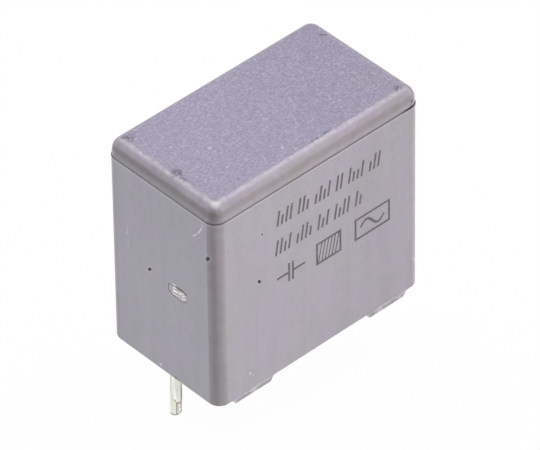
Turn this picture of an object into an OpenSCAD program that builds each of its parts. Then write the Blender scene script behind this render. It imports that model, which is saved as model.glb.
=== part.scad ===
// Box film capacitor for a circuit board: a moulded case, open underneath and filled with
// resin round a flat wound element, with two wire leads at a standard pitch.
// Millimetres. Z points up, X runs along the row of leads, and z = 0 is the seating plane
// under the four standoff feet. The origin lies on it, midway between the leads.

/* [Case] */
// Width of the case, across the row of leads
case_w = 10; // [8:0.1:20]
// Height of the case from the seating plane to the top
case_h = 16.5; // [13:0.1:30]
// Thickness of the side walls
wall_t = 0.7; // [0.5:0.05:0.9]
// Thickness of the top
top_t = 0.9; // [0.7:0.05:1.5]
// Radius of the upright corners and of the rounding along the top edges
edge_r = 0.85; // [0.6:0.05:1.05]
// Radius of the corners and top edges of the pocket inside
pocket_r = 0.5; // [0.2:0.05:0.8]
// Distance of the mould's parting line below the top
parting_drop = 1.2; // [1.15:0.05:3]
// Height and depth of the witness groove at the parting line
parting_groove = 0.06; // [0.03:0.01:0.1]

/* [Feet] */
// Height of the standoff feet
foot_h = 0.35; // [0.2:0.05:1]
// Length of a foot where it meets the rim
foot_l = 3.3; // [1.5:0.1:4]
// Distance from the end of the case to the foot
foot_from_end = 1.25; // [1:0.05:2]
// How far the ends of a foot slope in on the way down
foot_slope = 0.3; // [0:0.05:0.6]
// How far the outside of a foot is set back from the wall
foot_setback = 0.07; // [0:0.01:0.2]

/* [Gate scar] */
// Diameter of the round recess where the plastic was fed in
gate_d = 1.5; // [0.8:0.1:2.5]
// Depth of the recess
gate_depth = 0.12; // [0.05:0.01:0.3]
// Diameter of the broken sprue left in the recess
sprue_d = 0.7; // [0.3:0.1:0.8]
// Height of the broken sprue above the bottom of the recess
sprue_h = 0.09; // [0.02:0.01:0.15]
// Place of the scar across the end of the case
gate_y = -1.45; // [-2:0.05:2]
// Height of the scar above the seating plane
gate_z = 7.8; // [4:0.1:9]

/* [Leads] */
// Pitch of the two leads
lead_pitch = 15; // [10:0.5:27.5]
// Diameter of the lead wire
lead_d = 0.8; // [0.6:0.05:1]
// Length of the leads below the seating plane
lead_l = 4; // [2.5:0.5:25]
// Bevel left round the cut tip of a lead
tip_bevel = 0.12; // [0.05:0.01:0.2]
// Thickness of the flattened end that is welded to the element
tail_t = 0.5; // [0.3:0.05:0.55]
// How far the flattened end spreads beyond each side of the round wire
tail_spread = 0.1; // [0.05:0.01:0.3]
// Length of wire over which the round lead turns flat
swage_l = 0.8; // [0.5:0.05:1]
// How far the flattened end reaches up the face of the element
weld_l = 7; // [3:0.1:8]

/* [Element and resin] */
// Depth of the resin's surface inside the rim
resin_recess = 0.05; // [0:0.01:0.1]
// Resin between a lead and the end wall
end_resin = 0.15; // [0.1:0.05:2]
// Resin between the element and a side wall
side_resin = 0.35; // [0.1:0.05:1]
// Resin between the element and the top
top_resin = 0.5; // [0.2:0.05:2]
// Resin under the element
bottom_resin = 1.9; // [1.2:0.1:2.5]
// Thickness of the metal sprayed on each end of the winding
spray_t = 0.5; // [0.2:0.05:0.8]
// Thickness of the plain film wrapped round the winding
wrap_t = 0.2; // [0.1:0.05:0.4]

/* [Hidden] */
$fn = 64;

lead_x = lead_pitch / 2;
spray_x = lead_x - tail_t / 2;
case_l = lead_pitch + lead_d + 2 * (end_resin + wall_t);
rim_z = foot_h;
resin_z = rim_z + resin_recess;
roof_z = case_h - top_t;
element_z = resin_z + bottom_resin;
element_h = roof_z - top_resin - element_z;
element_w = case_w - 2 * (wall_t + side_resin);
parting_z = case_h - parting_drop;
over = 1;

// Rectangle with round corners, centred
module rounded_rect(l, w, r) {
    square([l - 2 * r, w], center = true);
    square([l, w - 2 * r], center = true);
    for (x = [-1, 1], y = [-1, 1])
        translate([x * (l / 2 - r), y * (w / 2 - r)]) circle(r);
}

// Upright outline that stands on y = 0 and is rounded at its two top corners
module arched_rect(l, h, r) {
    translate([-l / 2, 0]) square([l, h - r]);
    translate([r - l / 2, 0]) square([l - 2 * r, h]);
    for (x = [-1, 1])
        translate([x * (l / 2 - r), h - r]) circle(r);
}

// Block from z = 0 up, with one radius on its upright corners and along its top edges, so
// that each top corner is part of a ball
module moulded_block(l, w, h, r) {
    rotate([90, 0, 0]) linear_extrude(w - 2 * r, center = true) arched_rect(l, h, r);
    rotate([90, 0, 90]) linear_extrude(l - 2 * r, center = true) arched_rect(w, h, r);
    for (x = [-1, 1], y = [-1, 1])
        translate([x * (l / 2 - r), y * (w / 2 - r), 0]) {
            cylinder(r = r, h = h - r);
            translate([0, 0, h - r]) sphere(r);
        }
}

// Outline of the flat wound element: two half rounds joined by flats, from z = 0 up
module flat_round(w, h) {
    translate([-w / 2, w / 2]) square([w, h - w]);
    for (y = [w / 2, h - w / 2])
        translate([0, y]) circle(w / 2);
}

// A length of the element's outline along X, shrunk by a margin all round
module element_length(x0, x1, margin = 0) {
    translate([x0, 0, element_z + margin])
        rotate([90, 0, 90])
            linear_extrude(x1 - x0)
                flat_round(element_w - 2 * margin, element_h - 2 * margin);
}

// One foot under the rim of a long side
module foot() {
    inner = foot_l - 2 * foot_slope;
    depth = wall_t - foot_setback;
    translate([case_l / 2 - foot_from_end - foot_l / 2, case_w / 2 - foot_setback, rim_z])
        rotate([90, 0, 0])
            linear_extrude(depth)
                polygon([
                    [-foot_l / 2, 0], [-inner / 2, -foot_h],
                    [inner / 2, -foot_h], [foot_l / 2, 0]
                ]);
}

// The shallow groove that the mould's joint leaves round the case
module parting_line() {
    outer = case_l + over;
    translate([0, 0, parting_z - parting_groove / 2])
        linear_extrude(parting_groove)
            difference() {
                square([outer, outer + case_w], center = true);
                rounded_rect(case_l - 2 * parting_groove, case_w - 2 * parting_groove,
                             edge_r - parting_groove);
            }
}

// The recess of the gate scar, round what is left of the sprue
module gate_scar() {
    translate([-case_l / 2, gate_y, gate_z])
        rotate([0, 90, 0])
            difference() {
                translate([0, 0, -over]) cylinder(d = gate_d, h = over + gate_depth);
                translate([0, 0, gate_depth - sprue_h]) cylinder(d = sprue_d, h = over);
            }
}

// The space inside the case, from the rim up
module pocket(z0) {
    translate([0, 0, z0])
        moulded_block(case_l - 2 * wall_t, case_w - 2 * wall_t, roof_z - z0, pocket_r);
}

module case() {
    color("#a8a2ae") {
        difference() {
            translate([0, 0, rim_z])
                moulded_block(case_l, case_w, case_h - rim_z, edge_r);
            pocket(rim_z - over);
            parting_line();
            gate_scar();
        }
        for (x = [0, 1], y = [0, 1])
            mirror([x, 0, 0]) mirror([0, y, 0]) foot();
    }
}

module potting() {
    color("#8f8c8a")
        difference() {
            pocket(resin_z);
            element_length(-spray_x, spray_x);
            for (side = [-1, 1]) wire(side);
        }
}

module film_winding() {
    color("#cfcfd4") element_length(spray_t - spray_x, spray_x - spray_t, wrap_t);
}

module outer_wrap() {
    color("#e3dcc4")
        difference() {
            element_length(spray_t - spray_x, spray_x - spray_t);
            element_length(-lead_x, lead_x, wrap_t);
        }
}

module end_spray(side) {
    color("#8b8d90")
        mirror([side < 0 ? 1 : 0, 0, 0]) element_length(spray_x - spray_t, spray_x);
}

// The flattened end: it opens out from the round wire at 45 degrees, is pressed flat on
// both sides, and lies with its inner face against the sprayed metal
module flattened_end() {
    buried = element_z + weld_l - resin_z;
    spread = lead_d / 2 + tail_spread;
    translate([lead_x, 0, resin_z])
        intersection() {
            cylinder(r1 = lead_d / 2, r2 = lead_d / 2 + buried, h = buried);
            rotate([90, 0, 0])
                linear_extrude(2 * spread, center = true)
                    polygon([
                        [-spread, 0], [spread, 0], [tail_t / 2, swage_l],
                        [tail_t / 2, buried], [-tail_t / 2, buried], [-tail_t / 2, swage_l]
                    ]);
        }
}

// One lead: the round wire with its cut tip, then the flattened end inside the resin
module wire(side) {
    mirror([side < 0 ? 1 : 0, 0, 0]) {
        translate([lead_x, 0, -lead_l]) {
            cylinder(d1 = lead_d - 2 * tip_bevel, d2 = lead_d, h = tip_bevel);
            translate([0, 0, tip_bevel])
                cylinder(d = lead_d, h = lead_l + resin_z - tip_bevel);
        }
        flattened_end();
    }
}

module lead(side) {
    color("#d9d6c8") wire(side);
}

case();
potting();
film_winding();
outer_wrap();
end_spray(-1);  // end_spray_left
end_spray(1);  // end_spray_right
lead(-1);  // lead_left
lead(1);  // lead_right
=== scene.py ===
import math
import random
from functools import partial, reduce
from types import SimpleNamespace

import bmesh
import bpy
from mathutils import Matrix, Vector


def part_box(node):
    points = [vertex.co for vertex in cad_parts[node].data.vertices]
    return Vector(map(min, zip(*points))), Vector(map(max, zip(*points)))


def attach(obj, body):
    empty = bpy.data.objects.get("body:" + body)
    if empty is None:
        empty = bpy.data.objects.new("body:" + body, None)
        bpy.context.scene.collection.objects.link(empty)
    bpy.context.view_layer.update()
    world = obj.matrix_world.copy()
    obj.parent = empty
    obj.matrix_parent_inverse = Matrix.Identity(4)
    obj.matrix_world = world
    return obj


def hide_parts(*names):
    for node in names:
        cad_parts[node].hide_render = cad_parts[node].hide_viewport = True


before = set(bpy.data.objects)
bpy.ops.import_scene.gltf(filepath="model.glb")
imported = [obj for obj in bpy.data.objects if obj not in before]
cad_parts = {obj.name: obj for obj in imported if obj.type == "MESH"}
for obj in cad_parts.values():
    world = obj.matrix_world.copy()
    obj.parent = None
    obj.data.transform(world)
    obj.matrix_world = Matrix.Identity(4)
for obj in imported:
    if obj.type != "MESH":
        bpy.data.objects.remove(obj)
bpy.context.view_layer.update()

mm = 0.001
tiny = 0.0005 * mm
tuck = 0.004 * mm  # keeps a face just off the one it lies on
upright = 0.9  # share of a normal that counts as straight up or down

caseLow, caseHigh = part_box("case")
leadLow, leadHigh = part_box("lead_left")
caseLength = caseHigh.x - caseLow.x
caseWidth = caseHigh.y - caseLow.y
topZ = caseHigh.z
leadX = -(leadLow.x + leadHigh.x) / 2
floorZ = leadLow.z


def shade(*screen):
    # red, green and blue from 0 to 255 as on a screen
    return (*(value / 255 / 12.92 if value <= 10 else ((value / 255 + 0.055) / 1.055) ** 2.4
              for value in screen), 1.0)


def clamp(value, low=0.0, high=1.0):
    return max(low, min(high, value))


def setAll(thing, **settings):
    for key, value in settings.items():
        setattr(thing, key, value)
    return thing


# mesh helpers


def deselect():
    if bpy.context.object and bpy.context.object.mode != "OBJECT":
        bpy.ops.object.mode_set(mode="OBJECT")
    bpy.ops.object.select_all(action="DESELECT")


def takeUp(piece):
    deselect()
    piece.select_set(True)
    bpy.context.view_layer.objects.active = piece


def editPiece(piece, choose="DESELECT"):
    takeUp(piece)
    bpy.ops.object.mode_set(mode="EDIT")
    bpy.ops.mesh.select_all(action=choose)


def pick(piece, kind, test):
    # the test gets a point, the two ends of an edge, or the middle and normal of a face
    bpy.ops.mesh.select_mode(type=kind)
    bpy.ops.mesh.select_all(action="DESELECT")
    mesh = bmesh.from_edit_mesh(piece.data)
    parts, facts = {
        "VERT": (mesh.verts, lambda point: [point.co]),
        "EDGE": (mesh.edges, lambda edge: [end.co for end in edge.verts]),
        "FACE": (mesh.faces, lambda face: [face.calc_center_median(), face.normal]),
    }[kind]
    for part in parts:
        part.select_set(test(*facts(part)))
    mesh.select_flush_mode()
    bmesh.update_edit_mesh(piece.data)


def isUpright(a, b):
    return abs(a.x - b.x) < tiny and abs(a.y - b.y) < tiny


def extrude(x, y, z):
    bpy.ops.mesh.extrude_region_move(TRANSFORM_OT_translate={"value": (x, y, z)})


def resize(shareX, shareY, centre):
    bpy.ops.transform.resize(value=(shareX, shareY, 1), center_override=centre)


def bevelEdges(width, steps):
    bpy.ops.mesh.bevel(offset=width, segments=steps, affect="EDGES")


def settle(name, scale=None):
    # names what was just added and puts its place into its mesh
    piece = bpy.context.object
    piece.name = piece.data.name = name
    if scale:
        piece.scale = scale
    bpy.ops.object.transform_apply(location=True, rotation=True, scale=True)
    return piece


def addBlock(name, size, place, rotation=(0, 0, 0)):
    deselect()
    bpy.ops.mesh.primitive_cube_add(size=1, location=place, scale=size, rotation=rotation)
    return settle(name)


def addDisc(name, sides, radius, place):
    deselect()
    bpy.ops.mesh.primitive_circle_add(vertices=sides, radius=radius, fill_type="NGON", location=place)
    return settle(name)


def joinPieces(pieces, name):
    takeUp(pieces[0])
    for piece in pieces[1:]:
        piece.select_set(True)
    bpy.ops.object.join()
    pieces[0].name = pieces[0].data.name = name
    return pieces[0]


def finishShape(piece, smoothAngle=None):
    # merges points that lie together and turns the faces outwards
    editPiece(piece, "SELECT")
    bpy.ops.mesh.remove_doubles(threshold=tiny)
    bpy.ops.mesh.normals_make_consistent(inside=False)
    bpy.ops.object.mode_set(mode="OBJECT")
    if smoothAngle:
        bpy.ops.object.shade_smooth_by_angle(angle=math.radians(smoothAngle))


def applyModifier(piece, kind, **settings):
    takeUp(piece)
    modifier = setAll(piece.modifiers.new("modifier", kind), **settings)
    bpy.ops.object.modifier_apply(modifier=modifier.name)


def cutWith(piece, tool, operation):
    applyModifier(piece, "BOOLEAN", operation=operation, solver="EXACT", object=tool)
    bpy.data.objects.remove(tool)


# case

caseShape = {
    "rimZ": 0.38 * mm,  # the rim stands this far above the feet
    "cornerRadius": 0.85 * mm,
    "cornerSteps": 9,
    "narrowing": 0.05 * mm,  # each side, from the rim to the seam
    "seamZ": 15.30 * mm,
    "seamHeight": 0.09 * mm,
    "seamDepth": 0.052 * mm,
    # the body's edge swells a little: height over the seam's lower edge, inset
    "lip": [(-0.34, 0.0), (-0.20, -0.006), (-0.10, -0.017), (-0.03, -0.020), (0.0, -0.004)],
    "capFoot": [(0.0, 0.042), (0.03, 0.020)],  # the same over the seam's upper edge
    "capLean": 4.9,  # degrees that the sides of the cap lean in
    "topRadius": 0.85 * mm,
    "topSteps": 12,
    "smallestCorner": 0.10 * mm,
    "rimEdge": 0.06 * mm,
    "wall": 0.7 * mm,
    "pocketRoof": 15.6 * mm,
    "pocketRadius": 0.5 * mm,
    "smoothAngle": 28,
}

footShape = {
    "length": 3.55 * mm,
    "fromEnd": 1.20 * mm,
    "slope": 0.3 * mm,
    "setback": 0.03 * mm,
    "lean": 0.02 * mm,
    "edge": 0.035 * mm,
    "rootHeight": 0.3 * mm,  # how far it reaches up into the wall
    "wallGap": 0.02 * mm,  # it stops this far short of the pocket
}

gateShape = {
    "y": -1.44 * mm,
    "z": 7.86 * mm,
    "halfY": 0.88 * mm,
    "halfZ": 0.51 * mm,
    "squareness": 3.0,  # 2 is an ellipse
    "depth": 0.12 * mm,
    "stubShare": 1.03,  # of the recess that the torn stub fills, a little into its wall
    "stubHeight": 0.12 * mm,
    "stubBack": 0.05 * mm,
    # the torn face slopes down into the recess: two shares of the height, and where it starts
    # and ends across the tear
    "slope": (0.95, 0.30, -0.10 * mm, 0.36 * mm),
    "ridgeWay": (-0.997, 0.08),  # the tear runs this way across y and z
    # ridges: height, half width and the points they run through, along and across the tear
    "ridgeHeight": 0.55,
    "ridges": [
        (1.0, 0.055, [(-0.66, 0.08), (-0.45, -0.04), (0.02, 0.02), (0.56, 0.13)]),
        (0.8, 0.040, [(-0.22, 0.24), (0.14, 0.31)]),
        (0.7, 0.050, [(-0.50, -0.27), (0.0, -0.22), (0.43, -0.27), (0.78, -0.12)]),
        (0.6, 0.045, [(0.18, -0.05), (0.40, -0.10), (0.66, 0.06)]),
        (0.5, 0.040, [(-0.74, -0.15), (-0.70, 0.18)]),
    ],
    "lumps": 60,
    "lumpHeight": 0.16,
}


def wallInset(z):
    share = (z - caseShape["rimZ"]) / (caseShape["seamZ"] - caseShape["rimZ"])
    return caseShape["narrowing"] * clamp(share)


def capInset(angle):
    # inset of the cap's side where it has turned by this angle from upright to flat
    s = caseShape
    lean, radius = math.radians(s["capLean"]), s["topRadius"]
    high, inset = s["capFoot"][-1]
    startZ = s["seamZ"] + s["seamHeight"] / 2 + high * mm
    rise = topZ - radius * (1 - math.sin(lean)) - startZ
    return (s["narrowing"] + inset * mm + rise * math.tan(lean)
            + radius * (math.cos(lean) - math.cos(angle)))


def addRing(ring, z, inset, tighten=False):
    # one more ring round the top face; tighten keeps the offset even round the corners
    rise, step = z - ring["z"], inset - ring["inset"]
    if tighten and ring["corner"] - step > caseShape["smallestCorner"]:
        bpy.ops.mesh.inset(thickness=step, depth=rise, use_even_offset=True)
        ring["corner"] -= step
    else:
        extrude(0, 0, rise)
        halfX, halfY = caseLength / 2 - ring["inset"], caseWidth / 2 - ring["inset"]
        resize(1 - step / halfX, 1 - step / halfY, (0, 0, z))
    ring["z"], ring["inset"] = z, inset


def addBox(name, length, width, bottom, top, radius, steps):
    # a block with rounded upright edges, left open for editing
    box = addBlock(name, (length, width, top - bottom), (0, 0, (top + bottom) / 2))
    editPiece(box)
    pick(box, "EDGE", isUpright)
    bevelEdges(radius, steps)
    return box


def buildShell():
    s = caseShape
    seamLow = s["seamZ"] - s["seamHeight"] / 2
    seamHigh = s["seamZ"] + s["seamHeight"] / 2
    wallTop = seamLow + s["lip"][0][0] * mm
    shell = addBox("caseShell", caseLength, caseWidth, s["rimZ"], wallTop, s["cornerRadius"],
                   s["cornerSteps"])
    pick(shell, "VERT", lambda p: p.z > wallTop - tiny)
    inset = wallInset(wallTop)
    resize(1 - 2 * inset / caseLength, 1 - 2 * inset / caseWidth, (0, 0, wallTop))
    pick(shell, "FACE", lambda c, n: n.z > upright)
    # the lip of the body, the seam with its floor, and back out to the cap
    ring = {"z": wallTop, "inset": inset, "corner": s["cornerRadius"]}
    for high, out in s["lip"][1:]:
        addRing(ring, seamLow + high * mm, s["narrowing"] + out * mm)
    addRing(ring, seamLow, s["narrowing"] + s["seamDepth"])
    addRing(ring, seamHigh, s["narrowing"] + s["seamDepth"])
    for high, out in s["capFoot"]:
        addRing(ring, seamHigh + high * mm, s["narrowing"] + out * mm)
    # the leaning sides of the cap, then the rounding up to the flat top
    lean = math.radians(s["capLean"])
    for step in range(s["topSteps"] + 1):
        angle = lean + (math.pi / 2 - lean) * step / s["topSteps"]
        addRing(ring, topZ - s["topRadius"] * (1 - math.sin(angle)), capInset(angle), tighten=True)
    # a small round along the rim
    pick(shell, "EDGE", lambda a, b: max(a.z, b.z) < s["rimZ"] + tiny)
    bevelEdges(s["rimEdge"], 2)
    finishShape(shell)
    return shell


def buildPocket():
    s = caseShape
    pocket = addBox("pocketTool", caseLength - 2 * s["wall"], caseWidth - 2 * s["wall"],
                    s["rimZ"] - 1 * mm, s["pocketRoof"], s["pocketRadius"], 6)
    pick(pocket, "EDGE", lambda a, b: min(a.z, b.z) > s["pocketRoof"] - tiny)
    bevelEdges(s["pocketRadius"] * 0.9, 4)
    finishShape(pocket)
    return pocket


def buildFoot(sideX, sideY):
    f = footShape
    rim = caseShape["rimZ"]
    depth = caseShape["wall"] - f["setback"] - f["wallGap"]
    centreX = sideX * (caseLength / 2 - f["fromEnd"] - f["length"] / 2)
    centreY = sideY * (caseWidth / 2 - f["setback"] - depth / 2)
    foot = addBlock("footTool", (f["length"], depth, rim), (centreX, centreY, rim / 2))
    editPiece(foot)
    pick(foot, "VERT", lambda p: p.z < tiny)
    resize(1 - 2 * f["slope"] / f["length"], 1, (centreX, centreY, 0))
    outerY = centreY + sideY * depth / 2
    pick(foot, "VERT", lambda p: p.z < tiny and abs(p.y - outerY) < tiny)
    bpy.ops.transform.translate(value=(0, sideY * f["lean"], 0))
    pick(foot, "FACE", lambda c, n: n.z > upright)
    extrude(0, 0, f["rootHeight"])
    pick(foot, "EDGE", lambda a, b: max(a.z, b.z) < tiny or (
        min(a.z, b.z) < tiny and abs(a.y - b.y) < f["lean"] * 1.1 and abs(a.x - b.x) > tiny))
    bevelEdges(f["edge"], 2)
    finishShape(foot)
    return foot


gateWallX = -caseLength / 2 + wallInset(gateShape["z"])
gateFloorX = gateWallX + gateShape["depth"]


def gateReach(y, z, share=1.0):
    # 1 on the rim of the recess
    power = gateShape["squareness"]
    return ((abs(y) / gateShape["halfY"] / share) ** power
            + (abs(z) / gateShape["halfZ"] / share) ** power) ** (1 / power)


def buildRecess():
    g = gateShape
    deselect()
    bpy.ops.mesh.primitive_cylinder_add(
        vertices=48, radius=g["halfZ"], depth=2 * g["depth"], rotation=(0, math.radians(90), 0),
        location=(gateWallX, g["y"], g["z"]))
    recess = settle("recessTool")
    for point in recess.data.vertices:
        offY, offZ = point.co.y - g["y"], point.co.z - g["z"]
        point.co.y = g["y"] + offY / gateReach(offY, offZ)
        point.co.z = g["z"] + offZ / gateReach(offY, offZ)
    return recess


shell = buildShell()
cutWith(shell, buildPocket(), "DIFFERENCE")
for sideX in (-1, 1):
    for sideY in (-1, 1):
        cutWith(shell, buildFoot(sideX, sideY), "UNION")
cutWith(shell, buildRecess(), "DIFFERENCE")
finishShape(shell, caseShape["smoothAngle"])
applyModifier(shell, "WEIGHTED_NORMAL", keep_sharp=True, weight=100)
print("case shell:", len(shell.data.polygons), "faces")


# gate stub


def awayFromLine(point, through):
    # distance of a point from a line through several points
    nearest = 9.0
    for start, end in zip(map(Vector, through), map(Vector, through[1:])):
        run = end - start
        share = clamp((point - start).dot(run) / run.length_squared)
        nearest = min(nearest, (point - start - run * share).length)
    return nearest


def buildGateStub():
    g = gateShape
    wayY, wayZ = g["ridgeWay"]
    flush, sunk, slopeStart, slopeEnd = g["slope"]
    halfY, halfZ = g["halfY"] * g["stubShare"], g["halfZ"] * g["stubShare"]
    deselect()
    bpy.ops.mesh.primitive_grid_add(x_subdivisions=52, y_subdivisions=64, size=2,
                                    location=(gateFloorX, g["y"], g["z"]),
                                    rotation=(0, math.radians(-90), 0))
    stub = settle("gateStub", (halfZ, halfY, 1))
    draw = random.Random(11)
    lumps = [(draw.uniform(-0.9, 0.9) * halfY, draw.uniform(-0.9, 0.9) * halfZ,
              draw.uniform(0.04, 0.08) * mm, draw.uniform(-0.6, 0.7)) for _ in range(g["lumps"])]
    for point in stub.data.vertices:
        y, z = point.co.y - g["y"], point.co.z - g["z"]
        along, across = (y * wayY + z * wayZ) / mm, (y * wayZ - z * wayY) / mm
        nearEnd = clamp(y / halfY * 1.3)  # the torn face stays flush at this end
        down = clamp((across * mm - slopeStart) / (slopeEnd - slopeStart))
        down *= 1 - 0.8 * nearEnd
        height = flush + (sunk - flush) * down
        broken = 0.7 + 0.3 * math.sin(23 * along + 31 * across)
        for tall, wide, through in g["ridges"]:
            off = awayFromLine(Vector((along, across)), through)
            height += g["ridgeHeight"] * tall * broken * math.exp(-(off / wide) ** 2)
        for lumpY, lumpZ, spread, tall in lumps:
            away = (y - lumpY) ** 2 + (z - lumpZ) ** 2
            height += g["lumpHeight"] * tall * math.exp(-away / spread ** 2)
        # it ends more sharply at the low side than at the high one
        low = max(nearEnd, min(1.0, 0.5 - across / 0.5))
        fade = max(0.0, 1 - gateReach(y, z, g["stubShare"]) ** (6 + 24 * low))
        point.co.x -= g["stubHeight"] * clamp(height, high=1.4) * fade - tuck
    editPiece(stub, "SELECT")
    extrude(g["stubBack"], 0, 0)
    pick(stub, "VERT", lambda p: gateReach(p.y - g["y"], p.z - g["z"], g["stubShare"]) > 1.001)
    bpy.ops.mesh.delete(type="VERT")
    editPiece(stub, "SELECT")
    bpy.ops.mesh.fill_holes(sides=0)
    finishShape(stub, 50)
    return stub


gateStub = buildGateStub()
print("gate stub:", len(gateStub.data.polygons), "faces")


# print

printShape = {
    "stroke": 0.16 * mm,
    "thick": 0.006 * mm,
    "sunk": 0.001 * mm,
    "slant": 9,  # degrees
    "height": 1.2 * mm,
    "low": 0.62,  # share of the height that a short bar has
    "pitch": 0.36 * mm,
    "groupGap": 0.34 * mm,
    # rows of bars: start, slope and groups, where 1 is a tall bar and 0 a short one
    "rows": [
        (-3.55 * mm, 12.36 * mm, -0.018, ["1011", "110", "0101", "11", "1001", "011"]),
        (-3.70 * mm, 10.05 * mm, 0.0, ["1101", "0110", "101", "1011", "10"]),
    ],
    "signZ": 8.1 * mm,
    # two plates of a capacitor and their wires: middle, length and degrees from upright
    "plates": [(-3.15, 1.0, 90), (-2.62, 1.5, 0), (-2.30, 1.5, 0), (-1.77, 1.0, 90)],
    # frames round a hatched block and a wave: middle, length and height
    "frames": [(0.75, 2.0, 1.6), (4.5, 2.9, 1.6)],
    # hatching: first stroke, step, count, length, width and slant
    "hatching": (0.02, 0.29, 6, 1.5, 0.09, 12),
    # wave: middle, length, height and steps
    "wave": (4.5, 2.0, 0.8, 14),
}


def addStroke(strokes, x, z, length, width, lean):
    # a flat bar whose middle is at x, z; lean is in degrees from upright
    strokes.append(addBlock("stroke", (width, printShape["thick"], length), (x, 0, z),
                            (0, math.radians(lean), 0)))


def addWave(strokes, x, z, length, height, steps):
    last = None
    for step in range(steps + 1):
        share = step / steps
        here = Vector((x + (share - 0.5) * length, 0, z + height / 2 * math.sin(share * 2 * math.pi)))
        if last:
            span = here - last
            middle = (here + last) / 2
            addStroke(strokes, middle.x, middle.z, span.length + 0.05 * mm, printShape["stroke"],
                      90 - math.degrees(math.atan2(span.z, span.x)))
        last = here


def addFrame(strokes, x, z, length, height):
    wide = printShape["stroke"]
    for side in (-1, 1):
        addStroke(strokes, x, z + side * height / 2, length + wide, wide, 90)
        addStroke(strokes, x + side * length / 2, z, height - wide, wide, 0)


def buildPrint():
    p = printShape
    strokes = []
    tilt = math.tan(math.radians(p["slant"]))
    for startX, startZ, slope, groups in p["rows"]:
        x = startX
        for group in groups:
            for bar in group:
                high = p["height"] * (1 if bar == "1" else p["low"])
                base = startZ + slope * (x - startX)
                addStroke(strokes, x + tilt * high / 2, base + high / 2, high, p["stroke"], p["slant"])
                x += p["pitch"]
            x += p["groupGap"]
    for x, length, lean in p["plates"]:
        addStroke(strokes, x * mm, p["signZ"], length * mm, p["stroke"], lean)
    for x, length, height in p["frames"]:
        addFrame(strokes, x * mm, p["signZ"], length * mm, height * mm)
    first, apart, count, length, width, lean = p["hatching"]
    for step in range(count):
        addStroke(strokes, (first + apart * step) * mm, p["signZ"], length * mm, width * mm, lean)
    x, length, height, steps = p["wave"]
    addWave(strokes, x * mm, p["signZ"], length * mm, height * mm, steps)
    marks = joinPieces(strokes, "printMarks")
    for point in marks.data.vertices:
        point.co.y += -caseWidth / 2 + wallInset(point.co.z) - p["sunk"]
    finishShape(marks)
    return marks


printMarks = buildPrint()
print("print:", len(printMarks.data.polygons), "faces")


# resin face

resinShape = {
    "z": 0.40 * mm,
    "overlap": 0.04 * mm,  # into the walls, all round
    "meniscus": 0.012 * mm,
    "reach": 0.14 * mm,  # how far from the walls it climbs
    "swell": 0.0012 * mm,
    "pits": 5,
    "pitDepth": 0.03 * mm,
    "thick": 0.06 * mm,
    "filletHeight": 0.24 * mm,
    "filletWidth": 0.34 * mm,
    "filletSteps": 7,
}


def buildFillet(side):
    # the resin drawn up round a lead
    r = resinShape
    radius = (leadHigh.x - leadLow.x) / 2 * 0.8
    lastWide, lastDrop = radius + r["filletWidth"], 0
    fillet = addDisc("fillet", 40, lastWide, (side * leadX, 0, r["z"]))
    editPiece(fillet, "SELECT")
    for step in range(1, r["filletSteps"] + 1):
        angle = math.radians(90 * step / r["filletSteps"])
        wide = radius + r["filletWidth"] * (1 - math.sin(angle))
        drop = r["filletHeight"] * (1 - math.cos(angle))
        extrude(0, 0, lastDrop - drop)
        resize(wide / lastWide, wide / lastWide, (side * leadX, 0, 0))
        lastWide, lastDrop = wide, drop
    finishShape(fillet, 50)
    return fillet


def buildResinFace():
    r = resinShape
    halfX = caseLength / 2 - caseShape["wall"]
    halfY = caseWidth / 2 - caseShape["wall"]
    deselect()
    bpy.ops.mesh.primitive_grid_add(x_subdivisions=92, y_subdivisions=50, size=1,
                                    location=(0, 0, r["z"]))
    face = settle("resinFace", (2 * halfX + 2 * r["overlap"], 2 * halfY + 2 * r["overlap"], 1))
    draw = random.Random(3)
    pits = [(draw.uniform(-0.8, 0.8) * halfX, draw.uniform(-0.7, 0.7) * halfY,
             draw.uniform(0.25, 0.5) * mm) for _ in range(r["pits"])]
    swells = [(draw.uniform(200, 700), draw.uniform(200, 700), draw.uniform(0, 6)) for _ in range(5)]
    for point in face.data.vertices:
        x, y = point.co.x, point.co.y
        edge = max(0.0, min(halfX - abs(x), halfY - abs(y)))
        climb = r["meniscus"] * math.exp(-edge / r["reach"])
        swell = sum(math.sin(a * x + b * y + c) for a, b, c in swells) * r["swell"]
        pit = sum(r["pitDepth"] * math.exp(-((x - px) ** 2 + (y - py) ** 2) / (size / 2) ** 2)
                  for px, py, size in pits)
        point.co.z += -climb + swell + pit - tuck
    editPiece(face, "SELECT")
    extrude(0, 0, r["thick"])
    finishShape(face, 40)
    return joinPieces([face, buildFillet(-1), buildFillet(1)], "resinFace")


resinFace = buildResinFace()
print("resin face:", len(resinFace.data.polygons), "faces")


# leads

leadShape = {
    "radius": 0.39 * mm,
    "sides": 36,
    "exitZ": 0.40 * mm,
    "steps": 30,
    "tipBevel": 0.07 * mm,
    "swage": 0.8 * mm,
    "flat": 0.5 * mm,
    "spread": 0.5 * mm,
    # the dent left by the cutter: height, how far it slants up round the wire and over what
    # width, how much thinner the wire is there, and how far the cut tip slants
    "nickZ": -2.85 * mm,
    "nickRise": 0.14 * mm,
    "nickWidth": 0.3 * mm,
    "cutShare": 0.07,
    "tipSlant": 0.06 * mm,
    # offset where it leaves the resin and further offset at the tip, where the dent faces
    "left": {"exit": (-0.145 * mm, 0.15 * mm), "lean": (-0.07 * mm, 0.04 * mm), "tip": -3.86 * mm,
             "turn": -42},
    "right": {"exit": (0, 0), "lean": (0.05 * mm, -0.04 * mm), "tip": -3.94 * mm, "turn": -138},
}


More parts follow.
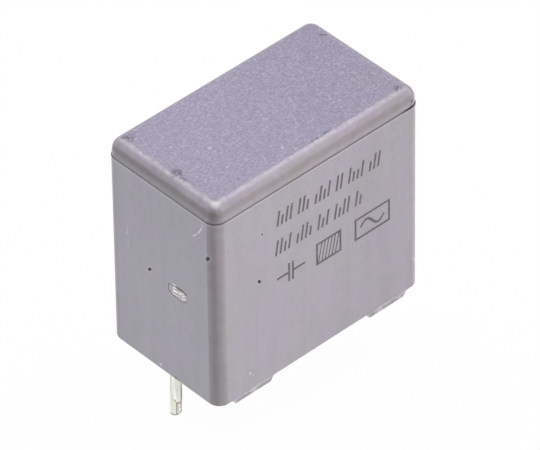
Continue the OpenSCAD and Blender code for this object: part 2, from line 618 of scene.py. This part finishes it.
def buildLead(name, side, facts):
    s = leadShape
    middle = (side * leadX, 0, 0)
    lead = addDisc(name, s["sides"], s["radius"], (side * leadX, 0, s["exitZ"]))
    editPiece(lead, "SELECT")
    # down to the cut tip
    run = s["exitZ"] - facts["tip"]
    for step in range(s["steps"]):
        extrude(0, 0, -run / s["steps"])
    pick(lead, "FACE", lambda c, n: c.z < facts["tip"] + tiny and abs(n.z) > upright)
    bevelEdges(s["tipBevel"], 3)
    # up into the resin, pressed flat
    pick(lead, "FACE", lambda c, n: c.z > s["exitZ"] - tiny and abs(n.z) > upright)
    extrude(0, 0, s["swage"])
    resize(s["flat"] / 2 / s["radius"], s["spread"] / s["radius"], middle)
    extrude(0, 0, leadHigh.z - s["exitZ"] - s["swage"])
    finishShape(lead)
    # the wire leans a little and is dented by the cutter on one side, down to the tip
    turned = math.radians(facts["turn"])
    draw = random.Random(7)
    for point in lead.data.vertices:
        z = point.co.z
        away = Vector((point.co.x - side * leadX, point.co.y))
        facing = away.x * math.cos(turned) + away.y * math.sin(turned)
        share = max(0.0, (s["exitZ"] - z) / run)
        if share > 0:
            nickZ = s["nickZ"] + s["nickRise"] * clamp(0.5 - facing / s["nickWidth"])
            if z < nickZ and facing > 0.02 * mm:
                away *= 1 - s["cutShare"] * (1 + draw.uniform(-0.4, 0.4))
            if share > 0.9:
                point.co.z += s["tipSlant"] * facing / s["radius"] * (share - 0.9) / 0.1
        hold = clamp(1 - (z - s["exitZ"]) / s["swage"])
        point.co.x = side * leadX + away.x + facts["exit"][0] * hold + facts["lean"][0] * share
        point.co.y = away.y + facts["exit"][1] * hold + facts["lean"][1] * share
    takeUp(lead)
    bpy.ops.object.shade_smooth_by_angle(angle=math.radians(40))
    return lead


leadLeft = buildLead("leadLeft", -1, leadShape["left"])
leadRight = buildLead("leadRight", 1, leadShape["right"])
print("leads:", len(leadLeft.data.polygons) + len(leadRight.data.polygons), "faces")


# node helpers


def addNode(tree, kind, **settings):
    return setAll(tree.nodes.new("ShaderNode" + kind), **settings)


def plug(source, target):
    # links a socket, sets a plain value
    if hasattr(source, "id_data"):
        target.id_data.links.new(source, target)
    else:
        target.default_value = source


def feed(node, **values):
    for name, value in values.items():
        plug(value, node.inputs[name.replace("_", " ")])


def calc(operation, *values, kind="Math"):
    # goes into the tree of the first socket among the values
    tree = next(value.id_data for value in values if hasattr(value, "id_data"))
    node = addNode(tree, kind, operation=operation)
    for value, socket in zip(values, node.inputs):
        plug(value, socket)
    return node.outputs["Value"]


def inTurn(operation):
    # works through any count of values from left to right
    return lambda *values: reduce(partial(calc, operation), values)


times, plus, minus = inTurn("MULTIPLY"), inTurn("ADD"), inTurn("SUBTRACT")
most, least = inTurn("MAXIMUM"), inTurn("MINIMUM")
absolute = partial(calc, "ABSOLUTE")
distance = partial(calc, "DISTANCE", kind="VectorMath")


def split(place):
    parts = addNode(place.id_data, "SeparateXYZ")
    plug(place, parts.inputs[0])
    return parts.outputs


def ramp(value, low, high, toLow=0.0, toHigh=1.0, smooth=True):
    node = addNode(value.id_data, "MapRange", clamp=True)
    node.interpolation_type = "SMOOTHSTEP" if smooth else "LINEAR"
    feed(node, Value=value, From_Min=low, From_Max=high, To_Min=toLow, To_Max=toHigh)
    return node.outputs["Result"]


def rise(value, level, start, end, toLow=0.0, toHigh=1.0, smooth=True):
    # a ramp whose start and end are in millimetres from a level
    return ramp(value, level + start * mm, level + end * mm, toLow, toHigh, smooth)


def drop(value, level, start, end):
    return rise(value, level, start, end, 1.0, 0.0)


def within(value, limit, share):
    # fades out between a share of the limit and the limit
    return ramp(value, times(limit, share), limit, 1.0, 0.0)


def strip(value, level, start, full, past, end):
    # full between two places, and gone outside two others
    return times(rise(value, level, start, full), drop(value, level, past, end))


def mixColour(factor, a, b, blend="MIX"):
    node = addNode(factor.id_data, "Mix", data_type="RGBA", blend_type=blend, clamp_factor=True)
    for value, index in ((factor, 0), (a, 6), (b, 7)):
        plug(value, node.inputs[index])
    return node.outputs[2]


def tint(mask, share, colour, target):
    return mixColour(times(mask, share), colour, target)


def noise(vector, scale, detail=3.0, roughness=0.6, stretch=None):
    if stretch:
        spread = addNode(vector.id_data, "Mapping")
        feed(spread, Vector=vector, Scale=stretch)
        vector = spread.outputs["Vector"]
    node = addNode(vector.id_data, "TexNoise")
    feed(node, Vector=vector, Scale=scale, Detail=detail, Roughness=roughness)
    return node.outputs["Fac"]


def patches(low, high, *kind):
    # a mask that comes up as a noise goes from one value to the other
    return ramp(noise(*kind), low, high)


def sway(*kind, stretch=None):
    # a noise round zero
    return minus(noise(*kind, stretch=stretch), 0.5)


# node groups


def newGroup(name, outputs, **inputs):
    # takes a vector and these inputs with their first values, and puts out numbers
    group = bpy.data.node_groups.new(name, "ShaderNodeTree")
    for label, value in {"Vector": (0, 0, 0), **inputs}.items():
        kind = "NodeSocketFloat" if isinstance(value, float) else "NodeSocketVector"
        socket = group.interface.new_socket(name=label, in_out="INPUT", socket_type=kind)
        socket.default_value = value
    for label in outputs:
        group.interface.new_socket(name=label, in_out="OUTPUT", socket_type="NodeSocketFloat")
    start = group.nodes.new("NodeGroupInput")
    return group, start.outputs, group.nodes.new("NodeGroupOutput")


def useGroup(group, place, **values):
    node = addNode(place.id_data, "Group", node_tree=group)
    feed(node, Vector=place, **values)
    return node.outputs


def addCells(given):
    # the distance from the middle of a cell, and numbers drawn for the cell
    cells = addNode(given["Vector"].id_data, "TexVoronoi", feature="F1")
    feed(cells, Vector=given["Vector"], Scale=given["Scale"])
    dice = addNode(given["Vector"].id_data, "SeparateColor")
    plug(cells.outputs["Color"], dice.inputs["Color"])
    return cells.outputs["Distance"], dice.outputs


# the fine pitted skin that a spark-eroded mould leaves
sparkGrain, given, end = newGroup("sparkGrain", ["Height", "Tone", "Glint"], Scale=9000.0, Contrast=1.0)
dice = addCells(given)[1]
maze = ramp(noise(given["Vector"], times(given["Scale"], 0.5), 2.0), 0.36, 0.64, smooth=False)
height = plus(times(dice["Red"], 0.5), times(maze, 0.5))
feed(end, Height=height, Tone=times(minus(height, 0.5), given["Contrast"]), Glint=ramp(height, 0.80, 0.92))

# sparse round specks, a few in every so many cells
specks, given, end = newGroup("specks", ["Mask"], Scale=700.0, Size=0.06, Share=0.1)
away, dice = addCells(given)
size = times(given["Size"], plus(0.5, dice["Green"]))
feed(end, Mask=times(calc("LESS_THAN", dice["Red"], given["Share"]), within(away, size, 0.6)))

# one round mark at a chosen place
spot, given, end = newGroup("spot", ["Mask"], Centre=(0, 0, 0), Radius=0.1 * mm, Softness=0.5)
away = distance(given["Vector"], given["Centre"])
feed(end, Mask=within(away, given["Radius"], minus(1.0, given["Softness"])))

# a thin curved line: the part of a circle that lies within reach of a chosen middle
scratch, given, end = newGroup("scratch", ["Mask"], Centre=(0, 0, 0), Radius=1 * mm, Width=0.05 * mm,
                               Middle=(0, 0, 0), Reach=1 * mm)
off = absolute(minus(distance(given["Vector"], given["Centre"]), given["Radius"]))
near = distance(given["Vector"], given["Middle"])
broken = patches(0.36, 0.5, given["Vector"], 2500.0, 2.0, 0.5)
feed(end, Mask=times(within(off, given["Width"], 0.3), within(near, given["Reach"], 0.6), broken))


# materials


def makeMaterial(name, paint, *facts, ior=1.5):
    # paint gets the shader, the place on the piece and these facts
    material = bpy.data.materials.new(name)
    material.use_nodes = True
    shader = material.node_tree.nodes["Principled BSDF"]
    feed(shader, IOR=ior)
    paint(shader, addNode(material.node_tree, "TexCoord").outputs["Object"], *facts)
    return material


def addBump(shader, height, strength, depth, under=None):
    bump = addNode(shader.id_data, "Bump")
    feed(bump, Strength=strength, Distance=depth, Height=height)
    if under:
        plug(under, bump.inputs["Normal"])
    plug(bump.outputs["Normal"], shader.inputs["Normal"])
    return bump.outputs["Normal"]


plastic = {
    "top": shade(163, 157, 177),
    # the long sides and the ends are one plastic: the ends are darker as painted shade
    "long": shade(175, 169, 178),
    "short": shade(163, 160, 168),
    "smoothEnd": shade(146, 140, 146),  # the smooth radii, on the ends and along the sides; partly polish, partly painted shade
    "smoothSide": shade(170, 162, 167),
    # painted reflection: dark low on the rounding of the top edge; painted shade on the feet
    "deepShade": shade(128, 120, 124),
    # painted highlight high on the rounding of the top edge
    "rounding": shade(188, 177, 197),
    "cool": (0.98, 1.01, 0.985, 1.0),  # two casts that it drifts between
    "warm": (1.012, 0.99, 1.022, 1.0),
    "grainScale": 11000.0,
    # how strongly each thing brightens or darkens it
    "drift": 0.06, "cloud": 0.13, "polishedCloud": 0.14, "streak": 0.22, "fine": 0.26, "grain": 0.42,
    "atRight": -0.085, "endTop": -0.045,
    # roughness, and what changes it
    "rough": 0.50, "topRough": 0.08, "polishedRough": 0.16, "backRough": 0.2, "fineRough": 0.16,
    "scratchRough": 0.2,
}

paleMarkAndHighlight, darkMarkAndShade, holeShade = shade(214, 210, 216), shade(92, 84, 98), shade(26, 20, 26)

# colour and strength of the marks, and of the painted highlights and painted shade among them, in the order
# in which they lie on one another
wearAndPaintedLight = {
    # painted glints on the peaks of the grain
    "glint": (paleMarkAndHighlight, 0.25),
    # painted shade: the back edges of the top are darker, standing in for a dimmer reflection there
    "backEdgeShade": (shade(118, 112, 116), 0.8),
    "scuffs": (darkMarkAndShade, 0.85),
    # painted highlight in crumbly patches along the edge of the flat top
    "edgeHighlight": (paleMarkAndHighlight, 0.34),
    # painted highlight in crumbly patches high on the rounding
    "ridgeHighlight": (paleMarkAndHighlight, 0.10),
    # painted shade in the seam's groove, darker towards the right
    "seamShade": (shade(138, 126, 130), 0.65),
    # painted shade of a wider gap at the right end of the seam
    "seamGapShade": (holeShade, 0.75),
    # painted highlight on the body's lip under the seam
    "lipHighlight": (paleMarkAndHighlight, 0.22),
    # painted shade on the outer faces of the feet
    "footFaceShade": (plastic["deepShade"], 0.30),
    # painted highlight along the rim over the feet
    "footRimHighlight": (paleMarkAndHighlight, 0.7),
    "footShadow": (darkMarkAndShade, 0.45),
    "rimCrumbs": (paleMarkAndHighlight, 0.6),
    "dust": (paleMarkAndHighlight, 0.75),
    "grit": (darkMarkAndShade, 0.55),
    "paleSpots": (paleMarkAndHighlight, 0.8),
    # painted highlight on the front corner of the flat top
    "cornerHighlight": (shade(238, 235, 238), 0.8),
    "warmPatch": (shade(136, 118, 120), 0.4),
    "smudges": (darkMarkAndShade, 0.8),
    "holeRims": (paleMarkAndHighlight, 0.28),
    # the pinholes' dark is painted shade
    "holes": (holeShade, 1.0),
    "rimStain": (shade(98, 92, 90), 0.7),
    "scratches": (paleMarkAndHighlight, 0.8),
}

# place and radius of round spots, in millimetres
spots = {
    "scuffs": [(-7.80, -0.60, topZ / mm, 0.62), (-7.75, 3.95, topZ / mm, 0.65),
               (7.75, 2.9, topZ / mm, 0.32), (7.55, -4.05, topZ / mm, 0.42)],
    "paleSpots": [(-6.04, -4.99, 1.78, 0.13), (-5.80, -4.99, 1.50, 0.07), (-8.74, 0.33, 0.74, 0.16),
                  (-2.1, -4.97, 5.2, 0.05)],
    "cornerHighlight": [(-8.04, -4.32, 16.46, 0.42)],
    "warmPatch": [(-8.52, -4.80, 15.75, 0.50)],
    "smudges": [(7.99, -4.90, 15.68, 0.24), (7.86, -4.91, 15.43, 0.14)],
    "rimStain": [(-8.75, -1.09, 0.34, 0.42)],
    "holes": [],
}

# pinholes, each drawn out by shares of its radius, level and upright
for px, py, pz, size in [(-8.72, 1.12, 8.18, 0.15), (-8.71, -4.26, 12.43, 0.17),
                         (-5.13, -4.97, 8.85, 0.14), (-4.82, -4.96, 12.50, 0.07)]:
    for way in (-size, size):
        onLong = py < -4.9
        spots["holes"].append((px + way * 0.30 * onLong, py + way * 0.30 * (not onLong),
                               pz - way * 0.47, size))

# centre and radius of the circle, width, middle and reach, in millimetres
arcs = {
    "corner": ((-8.7, -1.05, 15.68), 2.91, 0.085, (-8.7, -3.48, 14.15), 1.05),
    "side": ((-8.7, 60, 9.0), 56.9, 0.06, (-8.7, 3.1, 9.7), 1.1),
}


def inMetres(point):
    return tuple(value * mm for value in point)


def gather(place, name, softness, grow=1.0):
    # one mask for a list of round spots
    return most(*(useGroup(spot, place, Centre=inMetres(centre), Radius=size * grow * mm,
                           Softness=softness)["Mask"] for *centre, size in spots[name]))


def scratched(place, name):
    centre, radius, width, middle, reach = arcs[name]
    return useGroup(scratch, place, Centre=inMetres(centre), Radius=radius * mm, Width=width * mm,
                    Middle=inMetres(middle), Reach=reach * mm)["Mask"]


def findZones(place):
    # masks of the case's faces and edges
    at = SimpleNamespace()
    at.x, at.y, at.z = split(place)
    at.farX, at.farY = absolute(at.x), absolute(at.y)
    at.wander = times(sway(place, 1700.0, 3.0, 0.5), 0.4 * mm)
    # where the grained flat on top ends: it runs further down the rounding at the two sides
    # away from the front corner and its painted highlight
    reach = []
    for side, far, half in ((at.x, at.farX, caseLength / 2), (at.y, at.farY, caseWidth / 2)):
        flat = half - capInset(math.pi / 2) + 0.12 * mm
        reach.append(minus(rise(side, 0, 0, 1, flat, flat + 0.22 * mm), far))
    at.inside = plus(least(*reach), at.wander)
    at.onTop = times(rise(at.inside, 0, -0.05, 0.07), rise(at.z, topZ, -0.25, -0.05))
    at.offTop = minus(1.0, at.onTop)
    corner = least(minus(at.farX, caseLength / 2 - caseShape["cornerRadius"]),
                   minus(at.farY, caseWidth / 2 - caseShape["cornerRadius"]))
    aboveSeam = rise(at.z, caseShape["seamZ"], 0, 0.04)
    at.polished = times(most(rise(corner, 0, -0.03, 0.06), aboveSeam), at.offTop)
    at.onEnd = rise(minus(at.farX, at.farY), (caseLength - caseWidth) / 2, -0.3, 0.3)
    at.back = times(most(rise(at.x, caseLength / 2, -0.75, -0.35), rise(at.y, caseWidth / 2, -0.75, -0.35)),
                    rise(at.z, topZ, -0.45, -0.25))
    # fine unevenness, weaker where the plastic is polished
    at.fine = times(sway(place, 5200.0, 3.0, 0.65), ramp(at.polished, 0.0, 1.0, 1.0, 0.25))
    return at


def colourPlastic(place, at, grain):
    p = plastic
    # the smooth radii are darker than the faces, partly from a real polish and partly as painted shade
    smooth = mixColour(at.onEnd, p["smoothSide"], p["smoothEnd"])
    # painted reflection: a dark band low on the rounding, stronger on the ends
    deepShade = strip(at.z, topZ, -1.00, -0.62, -0.48, -0.26)
    smooth = tint(deepShade, ramp(at.onEnd, 0.0, 1.0, 0.35, 0.9), smooth, p["deepShade"])
    # painted highlight high on the rounding of the top edge
    rounding = rise(plus(at.z, times(at.wander, 0.5)), topZ, -0.46, -0.08, smooth=False)
    smooth = tint(rounding, 0.55, smooth, p["rounding"])
    # the ends are darker than the long sides as painted shade
    colour = mixColour(at.polished, mixColour(at.onEnd, p["long"], p["short"]), smooth)
    colour = tint(at.onTop, 1.0, colour, p["top"])
    # slow drifts of hue and tone, upright streaks on the sides and the grain of the top
    cast = mixColour(patches(0.38, 0.62, place, 330.0, 2.0), p["cool"], p["warm"])
    colour = mixColour(ramp(at.onTop, 0.0, 1.0, 1.0, 0.5), colour, cast, blend="MULTIPLY")
    cloud = sway(place, 1700.0)
    tone = plus(
        times(sway(place, 260.0, 3.0, 0.55), p["drift"]),
        times(cloud, p["cloud"]),
        times(sway(place, 800.0, stretch=(1, 1, 0.08)), at.offTop, p["streak"]),
        times(at.fine, p["fine"]),
        rise(at.x, 0, -5, 9, 0.0, p["atRight"]),
        times(grain["Tone"], p["grain"], at.onTop),
        times(rise(at.z, 0, 6, 15, 0.0, p["endTop"]), at.onEnd, at.offTop),
        times(cloud, p["polishedCloud"], at.polished))
    bright = addNode(place.id_data, "HueSaturation")
    feed(bright, Value=plus(1.0, tone), Color=colour)
    return bright.outputs["Color"]


def findWearAndPaintedLight(place, at, grain):
    # a mask for every kind of mark, and for the painted highlights and painted shade among them
    seamZ, seamHeight, rimZ = (caseShape[key] for key in ("seamZ", "seamHeight", "rimZ"))
    # dark scuffs where the flat top ends, on its left and front half
    nearEdge = times(drop(at.inside, 0, 0, 0.30), at.onTop, drop(plus(at.x, times(at.y, 1.7)), 0, -1, 1))
    scuffs = most(times(nearEdge, patches(0.54, 0.66, place, 420.0, 2.0)), gather(place, "scuffs", 0.8))
    offSeam = absolute(minus(at.z, seamZ))
    toRight = minus(at.x, at.y)
    outside = rise(at.farY, caseWidth / 2, -0.12, -0.08)
    atFoot = times(rise(at.farX, caseLength / 2, -4.8, -4.6), outside)
    return {
        "glint": times(grain["Glint"], at.onTop),
        "backEdgeShade": at.back,
        "scuffs": times(scuffs, patches(0.40, 0.54, place, 3600.0, 3.0, 0.7)),
        "edgeHighlight": times(strip(at.inside, 0, -0.28, -0.14, -0.05, 0.05), rise(at.z, topZ, -0.3, -0.1),
                          minus(1.0, at.back), patches(0.44, 0.58, place, 3000.0)),
        "ridgeHighlight": times(rise(at.z, topZ, -0.22, -0.06), at.offTop,
                       patches(0.48, 0.66, place, 1900.0, 4.0, 0.7)),
        "seamShade": times(ramp(offSeam, seamHeight * 0.45, seamHeight * 0.7, 1.0, 0.0),
                          rise(toRight, 0, -8, 13.5, 0.55, 1.0)),
        "seamGapShade": times(ramp(offSeam, seamHeight * 0.6, seamHeight * 1.1, 1.0, 0.0),
                         rise(toRight, 0, 11.7, 12.6)),
        "lipHighlight": strip(at.z, seamZ, -0.22, -0.14, -0.10, -0.06),
        "footFaceShade": times(drop(at.z, rimZ, -0.05, -0.01), outside),
        "footRimHighlight": times(strip(at.z, rimZ, -0.09, -0.05, -0.02, 0.01), atFoot),
        "footShadow": times(strip(at.z, rimZ, 0.01, 0.04, 0.07, 0.11), atFoot),
        "rimCrumbs": times(drop(at.z, rimZ, 0.07, 0.11), patches(0.42, 0.58, place, 1500.0)),
        "dust": useGroup(specks, place, Scale=620.0, Size=0.055, Share=0.10)["Mask"],
        "grit": useGroup(specks, place, Scale=900.0, Size=0.05, Share=0.06)["Mask"],
        "paleSpots": gather(place, "paleSpots", 0.5),
        "cornerHighlight": gather(place, "cornerHighlight", 0.9),
        "warmPatch": gather(place, "warmPatch", 0.8),
        "smudges": times(gather(place, "smudges", 0.8), patches(0.25, 0.45, place, 2600.0)),
        "holeRims": gather(place, "holes", 0.4, grow=1.7),
        "holes": gather(place, "holes", 0.45),
        "rimStain": times(gather(place, "rimStain", 0.7), patches(0.40, 0.55, place, 2200.0)),
        "scratches": most(scratched(place, "corner"), times(scratched(place, "side"), 0.6)),
    }


def paintPlastic(shader, place):
    p, at = plastic, findZones(place)
    grain = useGroup(sparkGrain, place, Scale=p["grainScale"], Contrast=1.0)
    colour = colourPlastic(place, at, grain)
    masks = findWearAndPaintedLight(place, at, grain)
    for name, (target, share) in wearAndPaintedLight.items():
        colour = tint(masks[name], share, colour, target)
    rough = plus(p["rough"], times(at.onTop, p["topRough"]))
    rough = plus(minus(rough, times(at.polished, p["polishedRough"])), times(at.back, p["backRough"]),
                 times(at.fine, p["fineRough"]), times(masks["scratches"], p["scratchRough"]))
    feed(shader, Base_Color=colour, Roughness=rough)
    height = plus(times(grain["Height"], at.onTop), times(at.fine, 0.15))
    height = minus(height, times(masks["holes"], 1.5), times(masks["scratches"], 0.5))
    first = addBump(shader, height, 0.6, 0.02 * mm)
    addBump(shader, noise(place, 420.0, 3.0, 0.5), 0.30, 0.08 * mm, under=first)


def paintTorn(shader, place):
    g = gateShape
    x, y, z = split(place)
    wayY, wayZ = g["ridgeWay"]
    across = minus(times(minus(y, g["y"]), wayZ), times(minus(z, g["z"]), wayY))
    # white where it stands over the slope, less so at the flush end
    flush, sunk, slopeStart, slopeEnd = g["slope"]
    slope = ramp(across, slopeStart, slopeEnd, flush * g["stubHeight"], sunk * g["stubHeight"],
                 smooth=False)
    raised = times(rise(minus(gateFloorX, x, slope), 0, 0.005, 0.026),
                   rise(y, g["y"], 0.30, 0.62, 1.0, 0.15))
    grit = noise(place, 7000.0, 3.0, 0.7)
    patch = noise(place, 3000.0, 2.0)
    colour = mixColour(raised, shade(176, 172, 174), shade(254, 254, 253))
    colour = mixColour(ramp(patch, 0.46, 0.62, 0.0, 0.35), colour, shade(206, 203, 204))
    colour = tint(ramp(grit, 0.54, 0.66), 0.6, colour, shade(134, 128, 134))
    # painted shadow under the recess's upper edge, which turns down at its far end
    turnDown = rise(y, g["y"], -0.70, -0.45, 0.12 * mm, 0.0)
    rimShadow = absolute(minus(plus(across, times(minus(patch, 0.5), 0.08 * mm), turnDown), 0.31 * mm))
    rimShadow = times(drop(rimShadow, 0, 0.04, 0.09), rise(y, g["y"], -0.5, 0.75, 1.0, 0.5))
    colour = tint(rimShadow, 0.95, colour, shade(58, 52, 58))
    feed(shader, Base_Color=colour, Roughness=ramp(grit, 0.3, 0.7, 0.35, 0.6))
    addBump(shader, grit, 0.8, 0.02 * mm)


def paintInk(shader, place):
    patch = noise(place, 5200.0, 2.0)
    slow = noise(place, 800.0, 2.0, 0.5)
    colour = mixColour(ramp(patch, 0.52, 0.72), shade(96, 89, 94), shade(128, 121, 128))
    colour = mixColour(ramp(slow, 0.45, 0.7, 0.0, 0.3), colour, shade(130, 123, 130))
    feed(shader, Base_Color=colour, Roughness=ramp(patch, 0.3, 0.7, 0.5, 0.62))
    addBump(shader, patch, 0.3, 0.01 * mm)


def paintResin(shader, place):
    slow = noise(place, 240.0, 3.0, 0.5)
    fine = noise(place, 2600.0)
    colour = mixColour(ramp(slow, 0.35, 0.65), shade(136, 132, 128), shade(152, 148, 143))
    colour = mixColour(ramp(fine, 0.55, 0.75, 0.0, 0.4), colour, shade(170, 166, 160))
    dust = useGroup(specks, place, Scale=900.0, Size=0.06, Share=0.12)
    colour = tint(dust["Mask"], 0.6, colour, shade(92, 88, 84))
    feed(shader, Base_Color=colour, Roughness=ramp(fine, 0.3, 0.7, 0.28, 0.42))
    addBump(shader, plus(slow, times(fine, 0.2)), 0.4, 0.05 * mm)


def paintWire(shader, place):
    left = leadShape["left"]
    x, y, z = split(place)
    streaks = noise(place, 7200.0, stretch=(1, 1, 0.05))
    grit = noise(place, 9000.0, 2.0)
    colour = mixColour(ramp(streaks, 0.40, 0.55), shade(214, 212, 204), shade(253, 252, 248))
    colour = mixColour(ramp(noise(place, 900.0, 2.0, 0.5), 0.45, 0.7, 0.0, 0.35), colour,
                       shade(232, 226, 206))
    # across the wire, as the dent faces; the left wire stands off its place
    turned = math.radians(left["turn"])
    facing = minus(times(y, math.sin(turned)), times(minus(absolute(x), leadX), math.cos(turned)))
    facing = plus(facing, rise(x, 0, -1, 1, 0.25 * mm, 0.0))
    # height over the dent's upper end, which steps down across the wire
    step = plus(rise(facing, 0, -0.13, 0.04, 0.31 * mm, 0.07 * mm),
                rise(facing, 0, 0.05, 0.37, 0.0, -0.06 * mm))
    over = plus(minus(z, step, leadShape["nickZ"]), times(sway(place, 2600.0, 2.0), 0.10 * mm))
    below = drop(over, 0, -0.06, -0.02)
    plain = times(below, drop(facing, 0, -0.05, 0), rise(facing, 0, -0.34, -0.26))
    ledge = times(below, drop(absolute(minus(facing, 0.015 * mm)), 0, 0.015, 0.045))
    rubbed = times(drop(over, 0, -0.03, 0), rise(facing, 0, 0, 0.10), ramp(grit, 0.35, 0.6))
    scar = times(drop(absolute(over), 0, 0.02, 0.06), rise(facing, 0, -0.20, -0.13))
    # painted shade along one side of the wire, stronger low down
    edge = times(rise(facing, 0, 0.24, 0.32), rise(z, 0, -2.2, -0.4, 1.0, 0.25))
    # painted shade round the cut tip, stronger on one side
    tipShade = times(drop(z, left["tip"], 0.09, 0.17), rise(facing, 0, -0.05, 0.15, 0.7, 1.0))
    for mask, share, target in [
        (plain, 0.75, shade(232, 233, 212)),
        (ledge, 0.85, shade(92, 84, 74)),
        (rubbed, 0.5, shade(160, 148, 142)),
        (scar, 0.9, shade(64, 55, 46)),
        (edge, 0.75, shade(104, 94, 86)),
        (tipShade, 0.85, shade(84, 80, 70)),
    ]:
        colour = tint(mask, share, colour, target)
    feed(shader, Base_Color=colour, Metallic=minus(0.85, times(scar, 0.4)),
         Roughness=ramp(grit, 0.3, 0.7, 0.30, 0.48))
    addBump(shader, minus(streaks, times(scar, 0.8)), 0.5, 0.015 * mm)


# what lies inside: noise, its stretch, two colours, what the noise drives, strength and depth of bumps
insides = {
    "metallisedFilm": ((3200.0, 2.0), (0.06, 1, 1), shade(176, 178, 184), shade(208, 209, 214),
                       {"Metallic": (0.75, 0.95), "Roughness": (0.22, 0.38)}, (0.4, 0.02 * mm)),
    "plainFilm": ((900.0, 3.0, 0.5), None, shade(222, 214, 190), shade(234, 228, 208),
                  {"Roughness": (0.18, 0.3)}, (0.3, 0.03 * mm)),
    "sprayedMetal": ((5200.0, 3.0, 0.7), None, shade(118, 120, 124), shade(160, 162, 165),
                     {"Metallic": (0.6, 0.85), "Roughness": (0.55, 0.75)}, (0.9, 0.05 * mm)),
}


def paintInside(shader, place, kind, stretch, low, high, driven, bumps):
    grain = noise(place, *kind, stretch=stretch)
    feed(shader, Base_Color=mixColour(ramp(grain, 0.4, 0.6), low, high),
         **{socket: ramp(grain, 0.3, 0.7, *ends) for socket, ends in driven.items()})
    addBump(shader, grain, *bumps)


resinFinish = makeMaterial("castResin", paintResin, ior=1.55)
wireFinish = makeMaterial("tinnedWire", paintWire)
windingFinish, wrapFinish, sprayFinish = (makeMaterial(name, paintInside, *facts)
                                          for name, facts in insides.items())

# finish, slot and the node that it replaces
dressed = [
    (shell, makeMaterial("casePlastic", paintPlastic), "case_plastic", "case"),
    (gateStub, makeMaterial("tornPlastic", paintTorn), "case_plastic", None),
    (printMarks, makeMaterial("markInk", paintInk), "case_plastic", None),
    (resinFace, resinFinish, "resin", None),
    (leadLeft, wireFinish, "tinned_wire", "lead_left"),
    (leadRight, wireFinish, "tinned_wire", "lead_right"),
]
cadFinishes = {
    "potting": resinFinish,
    "film_winding": windingFinish,
    "outer_wrap": wrapFinish,
    "end_spray_left": sprayFinish,
    "end_spray_right": sprayFinish,
}
for node, finish in cadFinishes.items():
    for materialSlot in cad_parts[node].material_slots:
        materialSlot.material = finish
for piece, finish, slotName, node in dressed:
    piece.data.materials.clear()
    piece.data.materials.append(finish)
    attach(piece, "root")
    if node:
        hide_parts(node)
print("materials:", len(bpy.data.materials))


# floor, light and camera


def emptyTree(owner):
    owner.use_nodes = True
    owner.node_tree.nodes.clear()
    return owner.node_tree


def endTree(tree, end, shader, white, share=None):
    # white to the camera and in reflections, the other shader to the rest of the light
    rays = addNode(tree, "LightPath").outputs
    seen = times(rays["Is Camera Ray"], share) if share else rays["Is Camera Ray"]
    shiny = most(rays["Is Glossy Ray"], rays["Is Transmission Ray"])
    mix = addNode(tree, "MixShader")
    for value, socket in zip((most(seen, shiny), shader.outputs[0], white.outputs[0]), mix.inputs):
        plug(value, socket)
    plug(mix.outputs[0], addNode(tree, end).inputs["Surface"])


floorShape = {"radius": 0.6, "below": 0.01 * mm, "colour": shade(250, 250, 250), "whiteness": 0.97}

floor = addDisc("floor", 96, floorShape["radius"], (0, 0, floorZ - floorShape["below"]))
floor.data.materials.append(bpy.data.materials.new("paleFloor"))
tree = emptyTree(floor.data.materials[0])
paper = addNode(tree, "BsdfDiffuse")
feed(paper, Color=floorShape["colour"])
endTree(tree, "OutputMaterial", paper, addNode(tree, "Emission"), floorShape["whiteness"])

lampsAway = 0.75
# where each one stands, its size, radiance and colour, and whether reflections show it
lamps = {
    "backLeft": ((-0.08, 0.56, 0.83), 0.36, 4.4, (0.97, 0.97, 1.0), True),
    "backRight": ((0.52, -0.05, 0.855), 0.36, 4.0, (0.98, 0.97, 1.0), True),
    "left": ((-0.74, 0.66, 0.20), 0.60, 3.1, (0.97, 0.99, 1.0), False),
    "right": ((0.72, -0.68, 0.22), 0.60, 4.4, (1.0, 0.98, 0.97), False),
}

for name, (way, size, radiance, colour, glossy) in lamps.items():
    way = Vector(way).normalized()
    deselect()
    bpy.ops.object.light_add(type="AREA", location=Vector((0, 0, (topZ + floorZ) / 2)) + way * lampsAway)
    light = setAll(bpy.context.object, name=name, visible_glossy=glossy,
                   rotation_euler=way.to_track_quat("Z", "Y").to_euler())
    setAll(light.data, shape="SQUARE", size=size, color=colour, energy=radiance * math.pi * size ** 2)

worldLight = 0.2
bpy.context.scene.world = bpy.data.worlds.new("tent")
tree = emptyTree(bpy.context.scene.world)
tent, white = addNode(tree, "Background"), addNode(tree, "Background")
feed(tent, Color=(1, 1, 1, 1), Strength=worldLight)
feed(white, Color=(1, 1, 1, 1))
endTree(tree, "OutputWorld", tent, white)

cameraSetup = {
    "azimuth": -42.524, "elevation": 41.032, "roll": -0.798,  # degrees
    "away": 362.356 * mm, "target": (0.4288 * mm, 0.0457 * mm, 6.9729 * mm), "lens": 385.23,
}

azimuth, elevation, roll = (math.radians(cameraSetup[key]) for key in ("azimuth", "elevation", "roll"))
back = Vector((math.sin(azimuth) * math.cos(elevation), -math.cos(azimuth) * math.cos(elevation),
               math.sin(elevation)))
deselect()
bpy.ops.object.camera_add(location=Vector(cameraSetup["target"]) + back * cameraSetup["away"])
camera = bpy.context.scene.camera = bpy.context.object
turn = back.to_track_quat("Z", "Y").to_matrix() @ Matrix.Rotation(roll, 3, "Z")
camera.rotation_euler = turn.to_euler()
setAll(camera.data, lens=cameraSetup["lens"], sensor_width=36, clip_start=0.01, clip_end=10)
bpy.context.scene.view_settings.view_transform = "Standard"
print("stage: floor,", len(lamps), "lamps, world and camera")
